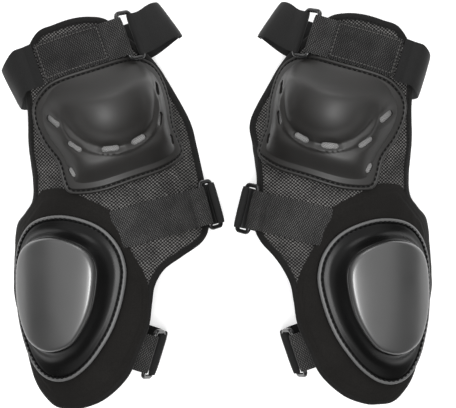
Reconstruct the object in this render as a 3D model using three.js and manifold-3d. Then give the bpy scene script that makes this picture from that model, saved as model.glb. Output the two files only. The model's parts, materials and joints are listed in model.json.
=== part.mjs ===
// A pair of motorcycle knee guards lying on their backs, in millimetres, +Z up.
// Each guard's own frame has its origin under the middle of the knee cap: +Y runs up the shin and
// the thigh leans away from it towards -X, the outer side of the leg. The second guard is a mirror.
import * as THREE from 'three';
import { mergeVertices } from 'three/addons/utils/BufferGeometryUtils.js';
import Module from 'manifold-3d';

const wasm = await Module();
wasm.setup();

const { Vector2, Vector3 } = THREE;
const degrees = Math.PI / 180;

// ---- driving dimensions ------------------------------------------------------------------

const ARCH_TOP = 83;
const FLARE_LENGTH = 12;
const THIGH = { lean: 19.5 * degrees, radius: 98, middle: -28, flareAngle: 60 * degrees };
const SHIN = { lean: 0, radius: 136, middle: 11.6, flareAngle: 58 * degrees };
// The thigh's arch passes into the shin's across a line through this point, leaning over the knee.
const KNEE_FOLD = { x: 3, y: -131, towards: new Vector2(-0.67, -0.74), before: -31, after: 37 };

const PAD_SPOKES = 36;
const CAP_SPOKES = 34;
const SLIDER_SPOKES = 36;
// Heights above the pad's outer face, along its normal.
const PAD_LAYERS = { face: [-1.5, 0], foam: [-8, -1.9], lining: [-9.8, -8.4] };
const BINDING = { inset: 6, overhang: 2.8, top: 2.3, bottom: -12.3, gap: 1.3, side: 0.8 };

const CAP = {
  turn: 17 * degrees, domeY: 2, flangeBottom: 2.4, flangeTop: 5, flangeWidth: 6, shell: 2.8,
  bodyHeight: 11, bodyRise: 20, wallSlope: 1, domeHeight: 18, domeRadius: 39, domePower: 0.75,
  ledgeRadius: 47, wallWidth: 19, ventDepth: 30,
};
// Share of the way to the rim that each ring of the cap keeps to where the rim is near.
const CAP_SHARES = { crown: 0.25, brow: 0.45, dome: 0.6, ledge: 0.7, wall: 0.8, flange: 0.88 };
const CUSHION = { bottom: 2.6, gap: 2.7, edgeShare: 0.7 };

const SLIDER = {
  turn: -26 * degrees, panel: [1.2, 2.9], backing: [4.3, 5.6], flangeBottom: 6,
  flangeTop: 8.6, roof: 23.5, shell: 3, plateGap: 0.5, plateEdge: 27.5, plateTop: 30, crown: 31,
  middleY: 4, coreGap: 1.2,
};

const WEBBING = { width: 40, thickness: 2.2, height: 3.2 };
const ELASTIC = { width: 44, thickness: 1.8 };
const PATCH = { width: 38, thickness: 1.5, height: 5.6 };
const HOOK = { width: 38, thickness: 0.8, gap: 0.6 };
const RING = { sides: 6, barRadius: 2.3, barSpacing: 19.2, length: 54, corner: 4 };
const EYE = { inner: 3, outer: 4.6, segments: 5 };
const FLOOR_HEIGHT = ELASTIC.thickness / 2;
const TAB_OFFSET = ELASTIC.thickness + HOOK.thickness + 2 * HOOK.gap;

// ---- outlines ----------------------------------------------------------------------------

const PAD_OUTLINE = [
  [-86, 58], [-74, 81], [-57, 89], [-38, 96], [-20, 99], [-4, 97], [15, 82], [42, 59], [59, 34],
  [80, -4], [88, -33], [96, -70], [100, -94], [101, -116], [95, -132], [74, -147], [56, -160],
  [46, -177], [43, -196], [40, -219], [30, -245], [18, -271], [-4, -292], [-26, -302], [-41, -304],
  [-57, -303], [-71, -292], [-81, -278], [-88, -258], [-100, -216], [-106, -202], [-109, -181],
  [-108, -150], [-105, -118], [-93, -103], [-84, -90], [-83, -69], [-85, -47], [-86, -33],
  [-85, -3], [-87, 28],
];
// Where the pad's lower inner corner begins, inwards to outwards and down from the cap's middle.
const CORNER = { fromX: 45, toX: 98, fromY: 5, toY: 60 };
const PAD_CENTRE = new Vector2(-7, -89);

const PANEL_OUTLINE = [
  [-75, -84], [-63, -79], [-48, -79], [-23, -89], [1, -101], [13, -116], [22, -140], [34, -163],
  [36, -181], [33, -211], [23, -239], [9, -266], [-10, -285], [-27, -293], [-41, -295], [-54, -294],
  [-65, -286], [-72, -274], [-80, -255], [-91, -214], [-97, -200], [-100, -181], [-99, -150],
  [-95, -120], [-85, -105], [-76, -94],
];
const PANEL_CENTRE = new Vector2(-35, -190);

// Half outlines run from the top to the bottom of each piece, on its +X side.
const CAP_HALF = [
  [0, 50], [43, 50], [64, 42], [75, 31], [79, 16], [78, 0], [75, -13], [69, -31], [70, -49],
  [69, -61], [60, -68], [34, -74], [0, -74.5],
];
const SLIDER_HALF = [
  [0, 86], [26, 82], [45, 73], [59, 58], [66, 42], [68, 26], [65, 0], [58, -26], [48, -47],
  [37, -64], [24, -77], [12, -83.5], [0, -85.5],
];
const PLATE_HALF = [
  [0, 63], [19, 60], [34, 53], [43, 42], [46, 26], [44, 0], [38, -21], [27, -41], [14, -50], [0, -53],
];

// Vents of the cap: where on it, their length and width, and how far their long side turns.
const VENTS = [
  { across: 55, along: 10, length: 20, width: 7, turn: 40 },
  { across: 43, along: -22, length: 18, width: 6, turn: 40 },
  { across: 56, along: -45, length: 12, width: 6.5, turn: 80 },
  { across: 13.3, along: -36.3, length: 17, width: 7, turn: 14 },
];

// ---- the pad's curved form ---------------------------------------------------------------

/** Height of an arch at a distance from its middle; past its flare angle it levels out. */
function archHeight(offset, arch) {
  const distance = Math.abs(offset);
  const limit = arch.radius * Math.sin(arch.flareAngle);
  const centreHeight = ARCH_TOP - arch.radius;
  if (distance <= limit) return centreHeight + Math.sqrt(arch.radius ** 2 - distance ** 2);
  const limitHeight = centreHeight + arch.radius * Math.cos(arch.flareAngle);
  const drop = FLARE_LENGTH * (1 - Math.exp((limit - distance) / FLARE_LENGTH));
  return limitHeight - Math.tan(arch.flareAngle) * drop;
}

function formHeight(x, y) {
  const across = x * Math.cos(THIGH.lean) + y * Math.sin(THIGH.lean);
  const thigh = archHeight(across - THIGH.middle, THIGH);
  const shin = archHeight(x - SHIN.middle, SHIN);
  const past = (x - KNEE_FOLD.x) * KNEE_FOLD.towards.x + (y - KNEE_FOLD.y) * KNEE_FOLD.towards.y;
  const share = THREE.MathUtils.smoothstep(past, KNEE_FOLD.before, KNEE_FOLD.after);
  return THREE.MathUtils.lerp(thigh, shin, share);
}

/** The point at a height above the pad's outer face, over a place in plan. */
function onPad(x, y, height) {
  const step = 0.5;
  const slopeX = (formHeight(x + step, y) - formHeight(x - step, y)) / (2 * step);
  const slopeY = (formHeight(x, y + step) - formHeight(x, y - step)) / (2 * step);
  const normal = new Vector3(-slopeX, -slopeY, 1).normalize();
  return new Vector3(x, y, formHeight(x, y)).addScaledVector(normal, height);
}

/**
 * A placing function for stiff pieces bent round an arch: across its arc, along it, and above it.
 * Heights over straightAbove rise in one direction, straight out from the piece's middle.
 */
function onArch(arch, turn, centreY, { spin = 0, straightAbove = Infinity } = {}) {
  return (across, along, height) => {
    const arc = across * Math.cos(spin) - along * Math.sin(spin);
    const along2 = across * Math.sin(spin) + along * Math.cos(spin);
    const angle = turn + arc / arch.radius;
    const bent = arch.radius + Math.min(height, straightAbove);
    const straight = Math.max(0, height - straightAbove);
    const u = arch.middle + bent * Math.sin(angle) + straight * Math.sin(turn);
    const z = ARCH_TOP - arch.radius + bent * Math.cos(angle) + straight * Math.cos(turn);
    const v = centreY + along2;
    return new Vector3(
      u * Math.cos(arch.lean) - v * Math.sin(arch.lean),
      u * Math.sin(arch.lean) + v * Math.cos(arch.lean),
      z,
    );
  };
}

// ---- outlines to points ------------------------------------------------------------------

function evenOutline(points, count) {
  const corners = points.map(([x, y]) => new Vector3(x, y, 0));
  const curve = new THREE.CatmullRomCurve3(corners, true, 'centripetal');
  return curve.getSpacedPoints(count).slice(0, count).map((p) => new Vector2(p.x, p.y));
}

function mirroredOutline(half) {
  const other = half.slice(1, -1).reverse().map(([x, y]) => [-x, y]);
  return [...half, ...other];
}

// ---- closed solids -----------------------------------------------------------------------

/** A closed geometry from rows of points, faces turned outwards. */
function closedGeometry(points, triangles) {
  const position = new Float32Array(points.flatMap((p) => [p.x, p.y, p.z]));
  const a = new Vector3();
  let volume = 0;
  for (const [i, j, k] of triangles) volume += a.crossVectors(points[i], points[j]).dot(points[k]);
  const index = triangles.flatMap(([i, j, k]) => (volume > 0 ? [i, j, k] : [i, k, j]));
  const geometry = new THREE.BufferGeometry();
  geometry.setAttribute('position', new THREE.BufferAttribute(position, 3));
  geometry.setIndex(index);
  geometry.computeVertexNormals();
  return geometry;
}

/**
 * A solid built on spokes that fan out from a centre. Each spoke lists its points from the
 * centre over the rim and back to the centre underneath; its first and last points are shared.
 */
function spokeSolid(spokes) {
  const points = [spokes[0][0], spokes[0].at(-1)];
  const rows = spokes.map((spoke) => spoke.slice(1, -1));
  const length = rows[0].length;
  for (const row of rows) points.push(...row);
  const at = (i, k) => 2 + (i % rows.length) * length + k;
  const triangles = [];
  // Faces over and under a layer are split along the same diagonal, so that stacked layers nest.
  const fromCentre = rows[0].map((p) => p.distanceTo(points[0]));
  const outwards = fromCentre.map((distance, k) => fromCentre[k + 1] > distance);
  for (let i = 0; i < rows.length; i++) {
    triangles.push([0, at(i, 0), at(i + 1, 0)]);
    triangles.push([1, at(i + 1, length - 1), at(i, length - 1)]);
    for (let k = 0; k < length - 1; k++) {
      const [a, b, c, d] = [at(i, k), at(i, k + 1), at(i + 1, k + 1), at(i + 1, k)];
      if (outwards[k]) triangles.push([a, b, c], [a, c, d]);
      else triangles.push([a, b, d], [b, c, d]);
    }
  }
  return closedGeometry(points, triangles);
}

/** A solid made by carrying a closed section round a closed path. */
function loopSolid(sections) {
  const points = sections.flat();
  const size = sections[0].length;
  const at = (i, k) => (i % sections.length) * size + (k % size);
  const triangles = [];
  for (let i = 0; i < sections.length; i++) {
    for (let k = 0; k < size; k++) {
      triangles.push([at(i, k), at(i, k + 1), at(i + 1, k + 1)]);
      triangles.push([at(i, k), at(i + 1, k + 1), at(i + 1, k)]);
    }
  }
  return closedGeometry(points, triangles);
}

/** A layer between two heights, from its centre to its outline, in rings at these fractions. */
function layer(outline, centre, fractions, [bottom, top], place) {
  const spoke = (point, height) => fractions.map((f) => {
    const p = centre.clone().lerp(point, f);
    return place(p.x, p.y, height);
  });
  return spokeSolid(outline.map((point) => [
    place(centre.x, centre.y, top),
    ...spoke(point, top),
    ...spoke(point, bottom).reverse(),
    place(centre.x, centre.y, bottom),
  ]));
}

function toManifold(geometry) {
  const bare = geometry.clone();
  bare.deleteAttribute('normal');
  bare.deleteAttribute('uv');
  const merged = mergeVertices(bare, 1e-4);
  return new wasm.Manifold(new wasm.Mesh({
    numProp: 3,
    vertProperties: merged.attributes.position.array,
    triVerts: new Uint32Array(merged.index.array),
  }));
}

function subtract(geometry, cutters) {
  let solid = toManifold(geometry);
  for (const cutter of cutters) solid = solid.subtract(toManifold(cutter));
  const mesh = solid.getMesh();
  const result = new THREE.BufferGeometry();
  result.setAttribute('position', new THREE.BufferAttribute(mesh.vertProperties, 3));
  result.setIndex(new THREE.BufferAttribute(mesh.triVerts, 1));
  result.computeVertexNormals();
  return result;
}

// ---- the pad -----------------------------------------------------------------------------

const PAD_RINGS = [0.3, 0.58, 0.82, 1];

/** The pad's outline, its lower inner corner drawn in by some millimetres. */
function padOutline(edgeIn) {
  const { smoothstep } = THREE.MathUtils;
  return evenOutline(PAD_OUTLINE.map(([x, y]) => {
    const share = smoothstep(x, CORNER.fromX, CORNER.toX) * smoothstep(-y, CORNER.fromY, CORNER.toY);
    return [x - edgeIn * share, y];
  }), PAD_SPOKES);
}

function padLayer(outline, [bottom, top]) {
  return layer(outline, PAD_CENTRE, PAD_RINGS, [bottom, top], onPad);
}

/** Edge tape: a channel folded round the edge of all three layers. */
function padBinding(outline) {
  const top = PAD_LAYERS.face[1] + BINDING.gap;
  const bottom = PAD_LAYERS.lining[0] - BINDING.gap;
  return loopSolid(outline.map((point) => {
    const ring = PAD_CENTRE.clone().lerp(point, PAD_RINGS.at(-2));
    const at = (inset, height) => {
      const rim = onPad(point.x, point.y, height);
      const inwards = onPad(ring.x, ring.y, height).sub(rim).normalize();
      return rim.addScaledVector(inwards, inset);
    };
    return [
      at(BINDING.inset, top), at(BINDING.inset, BINDING.top),
      at(-BINDING.overhang, BINDING.top), at(-BINDING.overhang, BINDING.bottom),
      at(BINDING.inset, BINDING.bottom), at(BINDING.inset, bottom),
      at(-BINDING.side, bottom), at(-BINDING.side, top),
    ];
  }));
}

// ---- the knee cap ------------------------------------------------------------------------

const onCap = onArch(THIGH, CAP.turn, 0);

/** Outer height of the cap from the distances to the dome's middle and to the rim. */
function capHeight(fromDome, fromRim) {
  const { smoothstep } = THREE.MathUtils;
  const body = CAP.bodyHeight * smoothstep(fromRim, CAP.flangeWidth, CAP.flangeWidth + CAP.bodyRise);
  const domeShare = Math.max(0, 1 - (fromDome / CAP.domeRadius) ** 2);
  const dome = CAP.domeHeight * domeShare ** CAP.domePower;
  const climb = Math.max(0, fromRim - CAP.flangeWidth) * CAP.wallSlope;
  return CAP.flangeTop + Math.min(body + dome, climb);
}

/** Distances from the dome's middle at which a spoke of the cap has its rings. */
function capRings(reach) {
  return [
    Math.min(0.4 * CAP.domeRadius, CAP_SHARES.crown * reach),
    Math.min(0.75 * CAP.domeRadius, CAP_SHARES.brow * reach),
    Math.min(CAP.domeRadius, CAP_SHARES.dome * reach),
    Math.min(CAP.ledgeRadius, CAP_SHARES.ledge * reach),
    Math.max(CAP_SHARES.wall * reach, reach - CAP.wallWidth),
    Math.max(CAP_SHARES.flange * reach, reach - CAP.flangeWidth),
    reach,
  ];
}

const domeMiddle = new Vector2(0, CAP.domeY);
const capOutline = evenOutline(mirroredOutline(CAP_HALF), CAP_SPOKES);

function capSpoke(point, heightAt) {
  const reach = point.distanceTo(domeMiddle);
  return capRings(reach).map((distance) => {
    const p = domeMiddle.clone().lerp(point, distance / reach);
    return onCap(p.x, p.y, heightAt(distance, reach - distance));
  });
}

function capInside(fromDome, fromRim) {
  return Math.max(CAP.flangeBottom, capHeight(fromDome, fromRim) - CAP.shell);
}

function ventCutter({ across, along, length, width, turn }, side) {
  const half = length / 2 - width / 2;
  const shape = new THREE.Shape();
  shape.absarc(half, 0, width / 2, -Math.PI / 2, Math.PI / 2);
  shape.absarc(-half, 0, width / 2, Math.PI / 2, 1.5 * Math.PI);
  const extrusion = { depth: CAP.ventDepth, bevelEnabled: false, curveSegments: 2 };
  const cutter = new THREE.ExtrudeGeometry(shape, extrusion);
  const foot = onCap(side * across, along, 0);
  const outwards = onCap(side * across, along, 1).sub(foot);
  const down = onCap(side * across, along - 1, 0).sub(foot);
  const sideways = new Vector3().crossVectors(outwards, down).negate();
  const angle = -turn * degrees * side;
  const longSide = sideways.clone().multiplyScalar(side * Math.cos(turn * degrees))
    .addScaledVector(down, -Math.sin(turn * degrees) * Math.sign(angle) * -side);
  const shortSide = new Vector3().crossVectors(outwards, longSide);
  const matrix = new THREE.Matrix4().makeBasis(longSide, shortSide, outwards).setPosition(foot);
  return cutter.applyMatrix4(matrix);
}

function kneeCap() {
  const shell = spokeSolid(capOutline.map((point) => [
    onCap(0, CAP.domeY, capHeight(0, CAP.domeRadius)),
    ...capSpoke(point, capHeight),
    ...capSpoke(point, capInside).reverse(),
    onCap(0, CAP.domeY, capInside(0, CAP.domeRadius)),
  ]));
  const cutters = VENTS.flatMap((vent) => [ventCutter(vent, 1), ventCutter(vent, -1)]);
  return subtract(shell, cutters);
}

/** Cushion under the cap, a little inside its hollow. */
function capCushion() {
  const topAt = (distance, edge) => capInside(distance, edge) - CUSHION.gap;
  return spokeSolid(capOutline.map((point) => {
    const reach = point.distanceTo(domeMiddle);
    const edgeRing = Math.max(CUSHION.edgeShare * reach + 1, reach - CAP.wallWidth);
    const rings = [...capRings(reach).slice(0, 4), edgeRing];
    const at = (distance, height) => {
      const p = domeMiddle.clone().lerp(point, distance / reach);
      return onCap(p.x, p.y, height);
    };
    return [
      onCap(0, CAP.domeY, topAt(0, CAP.domeRadius)),
      ...rings.map((distance) => at(distance, topAt(distance, reach - distance))),
      ...[4, 2, 0].map((k) => at(rings[k], CUSHION.bottom)),
      onCap(0, CAP.domeY, CUSHION.bottom),
    ];
  }));
}

// ---- the slider --------------------------------------------------------------------------

function sliderPanel() {
  const outline = evenOutline(PANEL_OUTLINE, 30);
  return layer(outline, PANEL_CENTRE, [0.4, 0.75, 1], SLIDER.panel, onPad);
}

/**
 * The slider's solids. Their profiles list points along a spoke and heights: 0 is the plateau's
 * edge, 1 the rim and -1 the middle.
 */
function sliderParts({ spin, centreY }) {
  const place = onArch(SHIN, SLIDER.turn, centreY, { spin, straightAbove: SLIDER.flangeBottom });
  const rim = evenOutline(mirroredOutline(SLIDER_HALF), SLIDER_SPOKES);
  const plateau = evenOutline(mirroredOutline(PLATE_HALF), SLIDER_SPOKES);
  const middle = new Vector2(0, SLIDER.middleY);
  const spokes = (profile, step = 1) => spokeSolid(
    rim.flatMap((rimPoint, i) => {
      if (i % step) return [];
      return [profile.map(([share, height]) => {
        const p = share < 0
          ? plateau[i].clone().lerp(middle, -share)
          : plateau[i].clone().lerp(rimPoint, share);
        return place(p.x, p.y, height);
      })];
    }),
  );
  const foot = SLIDER.flangeTop + 0.6;
  const plateBottom = SLIDER.roof + SLIDER.plateGap;
  const under = SLIDER.roof - SLIDER.shell;
  return {
    body: spokes([
      [-1, SLIDER.roof], [0, SLIDER.roof], [0.5, foot], [0.62, SLIDER.flangeTop - 0.8],
      [0.75, SLIDER.flangeTop], [0.95, SLIDER.flangeTop], [1, SLIDER.flangeTop - 1.2],
      [1, SLIDER.flangeBottom], [0.36, SLIDER.flangeBottom], [-0.1, under], [-1, under],
    ]),
    core: spokes([
      [-1, under - 1], [-0.2, under - 1],
      ...[0.16, -0.3, -0.65, -1].map((share) => [share, SLIDER.flangeBottom + SLIDER.coreGap]),
    ], 2),
    plate: spokes([
      [-1, SLIDER.crown], [-0.5, SLIDER.plateTop + 0.6], [-0.1, SLIDER.plateTop],
      [0, SLIDER.plateEdge], [0.02, plateBottom], [-1, plateBottom],
    ]),
    backing: spokes([
      ...[-1, -0.6, -0.2, 0.3, 0.92].map((share) => [share, SLIDER.backing[1]]),
      ...[0.92, 0.3, -0.2, -0.6, -1].map((share) => [share, SLIDER.backing[0]]),
    ], 2),
  };
}

// ---- straps ------------------------------------------------------------------------------

/** Side line of a route, at a distance to its right. */
function sideOf(route, distance) {
  return route.map((point, i) => {
    const before = route[Math.max(0, i - 1)];
    const after = route[Math.min(route.length - 1, i + 1)];
    const along = after.clone().sub(before).normalize();
    return new Vector2(point.x + along.y * distance, point.y - along.x * distance);
  });
}

function smoothRoute(points, count) {
  const curve = new THREE.SplineCurve(points.map(([p, z]) => new Vector2(p, z)));
  return curve.getSpacedPoints(count).map((p) => new Vector2(p.x, Math.max(p.y, FLOOR_HEIGHT)));
}

/** Section of a band of even thickness that ends in an eye round a bar at its last point. */
function eyeShape(route, thickness) {
  const centre = route.at(-1).clone();
  const heading = centre.clone().sub(route.at(-2)).angle();
  const half = thickness / 2;
  const tuck = Math.asin(half / EYE.outer);
  const points = sideOf(route, half).slice(0, -1);
  const steps = 2 * EYE.segments;
  const start = heading + Math.PI + tuck;
  const sweep = 2 * Math.PI - 2 * tuck;
  for (let i = 0; i <= steps; i++) {
    const arm = new Vector2(EYE.outer, 0).rotateAround(new Vector2(), start + (sweep * i) / steps);
    points.push(centre.clone().add(arm));
  }
  points.push(...sideOf(route, -half).slice(0, -1).reverse());
  const shape = new THREE.Shape(points);
  const hole = new THREE.Path().absarc(centre.x, centre.y, EYE.inner, 0, 2 * Math.PI, true);
  shape.holes.push(hole);
  return shape;
}

/** A band that ends in an eye; its section lies across the leg, centred on the strap's X axis. */
function eyeBand(route, thickness, width) {
  const shape = eyeShape(route, thickness);
  const extrusion = { depth: width, bevelEnabled: false, curveSegments: EYE.segments };
  const geometry = new THREE.ExtrudeGeometry(shape, extrusion);
  return geometry.rotateX(Math.PI / 2).translate(0, width / 2, 0);
}

/** A band of even thickness between two plain ends. */
function band(route, thickness, width) {
  const under = sideOf(route, thickness / 2);
  const over = sideOf(route, -thickness / 2);
  const points = route.flatMap((_, i) => [
    new Vector3(over[i].x, -width / 2, over[i].y), new Vector3(over[i].x, width / 2, over[i].y),
    new Vector3(under[i].x, width / 2, under[i].y), new Vector3(under[i].x, -width / 2, under[i].y),
  ]);
  const last = 4 * (route.length - 1);
  const triangles = [[0, 1, 2], [0, 2, 3], [last, last + 2, last + 1], [last, last + 3, last + 2]];
  for (let i = 0; i < last; i += 4) {
    for (let k = 0; k < 4; k++) {
      const [a, b] = [i + k, i + ((k + 1) % 4)];
      triangles.push([a, a + 4, b + 4], [a, b + 4, b]);
    }
  }
  return closedGeometry(points, triangles);
}

/** A rectangular ring with round bars, through two bar centres in the strap's section. */
function ringGeometry(inner, outer) {
  const across = outer.clone().sub(inner).normalize();
  const middle = inner.clone().add(outer).multiplyScalar(0.5);
  const halfLength = RING.length / 2 - RING.barRadius;
  const halfSpan = RING.barSpacing / 2;
  const corners = [[1, 1], [-1, 1], [-1, -1], [1, -1]];
  const sections = [];
  for (const [sx, sy] of corners) {
    const turns = sx * sy > 0 ? [0, 0.5, 1] : [1, 0.5, 0];
    for (const turn of turns) {
      const angle = (turn * Math.PI) / 2;
      const a = sx * (halfSpan - RING.corner + RING.corner * Math.cos(angle));
      const b = sy * (halfLength - RING.corner + RING.corner * Math.sin(angle));
      const outwards = new Vector2(sx * Math.cos(angle), sy * Math.sin(angle));
      sections.push({ a, b, outwards });
    }
  }
  return loopSolid(sections.map(({ a, b, outwards }) => {
    const points = [];
    for (let k = 0; k < RING.sides; k++) {
      const angle = (2 * Math.PI * (k + 0.5)) / RING.sides;
      const out = RING.barRadius * Math.cos(angle);
      const up = RING.barRadius * Math.sin(angle);
      const aa = a + outwards.x * out;
      const bb = b + outwards.y * out;
      points.push(new Vector3(
        middle.x + across.x * aa - across.y * up,
        bb,
        middle.y + across.y * aa + across.x * up,
      ));
    }
    return points;
  }));
}

/** How far from a strap's middle line its outer lines are measured. */
const PAD_EDGE_LINE = 18;

/** Route over the pad in a strap's section, at a height above the highest line it crosses. */
function padRoute(strap, from, to, height, steps) {
  const route = [];
  for (let i = 0; i <= steps; i++) {
    const p = THREE.MathUtils.lerp(from, to, i / steps);
    const points = [-PAD_EDGE_LINE, 0, PAD_EDGE_LINE].map((q) => {
      const x = strap.x + p * Math.cos(strap.lean) - q * Math.sin(strap.lean);
      const y = strap.y + p * Math.sin(strap.lean) + q * Math.cos(strap.lean);
      return onPad(x, y, height).sub(new Vector3(x, y, 0));
    });
    const highest = points.reduce((a, b) => (b.z > a.z ? b : a));
    const shift = highest.x * Math.cos(strap.lean) + highest.y * Math.sin(strap.lean);
    route.push(new Vector2(p + shift, highest.z));
  }
  return route;
}

/** Where each strap's own frame sits, its ring's bars, and its routes in that frame. */
function thighStrap(reach) {
  const along = 71;
  const strap = {
    name: 'thigh',
    lean: THIGH.lean,
    x: -along * Math.sin(THIGH.lean),
    y: along * Math.cos(THIGH.lean),
    inner: new Vector2(39, 67),
    outer: new Vector2(52.6, 53.4),
  };
  const right = 88 - reach.inner;
  const left = -91 + reach.outer;
  strap.webbing = [...padRoute(strap, -50, 18, WEBBING.height, 8), new Vector2(31, 72), strap.inner];
  strap.patch = padRoute(strap, -49, 15, PATCH.height, 6);
  strap.loop = smoothRoute([
    [61, 46], [73, 38.5], [right - 3, 29], [right - 1, 16], [right - 9, 4.5],
    [right - 24, FLOOR_HEIGHT], [40, FLOOR_HEIGHT], [0, FLOOR_HEIGHT], [-40, FLOOR_HEIGHT],
    [left + 27, FLOOR_HEIGHT], [left + 11, 4], [left + 3, 16], [left, 36], [left + 1, 54],
    [(left - 75) / 2, 71], [-72, 80],
  ], 46);
  strap.loop.push(...padRoute(strap, -61, -52.5, WEBBING.height + 1.2, 2));
  strap.sways = [
    { from: 56, to: right, shift: 7.8, turn: 17 * degrees },
    { from: -70, to: left, shift: reach.outerShift, turn: reach.outerTurn },
  ];
  strap.tabEnd = 6;
  strap.hookEnd = 3;
  return strap;
}

function midStrap({ ringIn, ringUp, webbingUp }) {
  const strap = {
    name: 'mid',
    lean: 15.5 * degrees,
    x: 0,
    y: -122.4,
    inner: new Vector2(101 - ringIn, 46 + ringUp),
    outer: new Vector2(112.6 - ringIn, 30.7 + ringUp),
  };
  const height = WEBBING.height + 3 + webbingUp;
  strap.webbing = [...padRoute(strap, 21, 82 - ringIn, height, 7), strap.inner];
  strap.loop = smoothRoute([
    [110 - ringIn, 19 + ringUp], [107.5 - ringIn, 9 + ringUp / 2], [99 - ringIn, 5],
    [88 - ringIn, 4.5], [60, 4.5], [45, 2.6], [30, FLOOR_HEIGHT], [-30, FLOOR_HEIGHT],
    [-90, FLOOR_HEIGHT], [-100, FLOOR_HEIGHT], [-108, 1.4],
  ], 42);
  strap.tabEnd = 4;
  strap.hookEnd = 2;
  return strap;
}

function lowerStrap() {
  const strap = {
    name: 'lower',
    lean: -17 * degrees,
    x: 31.5,
    y: -246.8,
    inner: new Vector2(9, 64),
    outer: new Vector2(16.5, 46.3),
  };
  strap.webbing = [...smoothRoute([[-22, 67.5], [-12, 67.2], [0, 66.5]], 4), strap.inner];
  strap.loop = smoothRoute([
    [16, 37], [16.3, 24], [13, 8], [2, FLOOR_HEIGHT],
    [-40, FLOOR_HEIGHT], [-80, FLOOR_HEIGHT], [-108, FLOOR_HEIGHT], [-122, 3], [-127, 12],
  ], 36);
  strap.tabEnd = 6;
  strap.hookEnd = 4;
  return strap;
}

/** The tab lies outside the loop's first stretch and turns round the ring's outer bar. */
function tabRoute(strap) {
  const beside = sideOf(strap.loop.slice(0, strap.tabEnd), -TAB_OFFSET);
  const free = beside.filter((p) => p.distanceTo(strap.outer) > EYE.outer + 5);
  return [...free.reverse(), strap.outer];
}

// ---- assembly ----------------------------------------------------------------------------

const LOOKS = {
  mesh: { color: 0x3a3a38, roughness: 0.9, metalness: 0 },
  foam: { color: 0x4a4a4a, roughness: 0.95, metalness: 0 },
  fabric: { color: 0x1c1c1b, roughness: 0.85, metalness: 0 },
  webbing: { color: 0x2a2a29, roughness: 0.8, metalness: 0 },
  elastic: { color: 0x242324, roughness: 0.8, metalness: 0 },
  shell: { color: 0x32322f, roughness: 0.45, metalness: 0 },
  paleMesh: { color: 0xa0a09a, roughness: 0.9, metalness: 0 },
  rubber: { color: 0x1e1e1d, roughness: 0.5, metalness: 0 },
  gloss: { color: 0x3b3b3c, roughness: 0.25, metalness: 0 },
  ring: { color: 0x2c2e2c, roughness: 0.35, metalness: 0 },
};

function addMesh(group, name, geometry, look) {
  const mesh = new THREE.Mesh(geometry, new THREE.MeshStandardMaterial(LOOKS[look]));
  mesh.name = name;
  group.add(mesh);
}

/** The elastic pulls askew where it leaves its ring and where it leaves the pad's outer edge. */
function swayed(geometry, { sways = [] }) {
  const position = geometry.attributes.position;
  for (let i = 0; i < position.count; i++) {
    const [p, q] = [position.getX(i), position.getY(i)];
    for (const { from, to, shift, turn } of sways) {
      const share = (p - from) / (to - from);
      if (share <= 0) continue;
      const eased = THREE.MathUtils.smoothstep(share, 0, 1);
      position.setX(i, p - q * Math.sin(turn * eased));
      position.setY(i, shift * eased + q * Math.cos(turn * eased));
    }
  }
  geometry.computeVertexNormals();
  return geometry;
}

function addStrap(guard, prefix, strap) {
  const group = new THREE.Group();
  group.position.set(strap.x, strap.y, 0);
  group.rotation.z = strap.lean;
  const name = (part) => `${prefix}_${strap.name}_${part}`;
  const tab = tabRoute(strap);
  const hookDepth = (ELASTIC.thickness + HOOK.thickness) / 2 + HOOK.gap;
  const hook = sideOf(tab, -hookDepth).slice(0, strap.hookEnd);
  const webbing = eyeBand(strap.webbing, WEBBING.thickness, WEBBING.width);
  addMesh(group, name('webbing'), webbing, 'webbing');
  if (strap.patch) {
    addMesh(group, name('patch'), band(strap.patch, PATCH.thickness, PATCH.width), 'webbing');
  }
  addMesh(group, name('ring'), ringGeometry(strap.inner, strap.outer), 'ring');
  const elastic = band(strap.loop.slice(1), ELASTIC.thickness, ELASTIC.width);
  const tabBand = eyeBand(tab, ELASTIC.thickness, ELASTIC.width);
  addMesh(group, name('strap'), swayed(elastic, strap), 'elastic');
  addMesh(group, name('tab'), swayed(tabBand, strap), 'elastic');
  addMesh(group, name('hook'), swayed(band(hook, HOOK.thickness, HOOK.width), strap), 'fabric');
  guard.add(group);
}

function makeGuard(prefix, { slider: sliderPlace, corner, reach }) {
  const guard = new THREE.Group();
  const outline = padOutline(corner.edgeIn);
  addMesh(guard, `${prefix}_pad_mesh`, padLayer(outline, PAD_LAYERS.face), 'mesh');
  addMesh(guard, `${prefix}_pad_foam`, padLayer(outline, PAD_LAYERS.foam), 'foam');
  addMesh(guard, `${prefix}_pad_lining`, padLayer(outline, PAD_LAYERS.lining), 'fabric');
  addMesh(guard, `${prefix}_pad_binding`, padBinding(outline), 'fabric');
  addMesh(guard, `${prefix}_knee_cap`, kneeCap(), 'shell');
  addMesh(guard, `${prefix}_cap_cushion`, capCushion(), 'paleMesh');
  addMesh(guard, `${prefix}_slider_panel`, sliderPanel(), 'fabric');
  const slider = sliderParts(sliderPlace);
  addMesh(guard, `${prefix}_slider_backing`, slider.backing, 'fabric');
  addMesh(guard, `${prefix}_slider_core`, slider.core, 'foam');
  addMesh(guard, `${prefix}_slider_body`, slider.body, 'rubber');
  addMesh(guard, `${prefix}_slider_wear_plate`, slider.plate, 'gloss');
  for (const strap of [thighStrap(reach), midStrap(corner), lowerStrap()]) {
    addStrap(guard, prefix, strap);
  }
  return guard;
}

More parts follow.
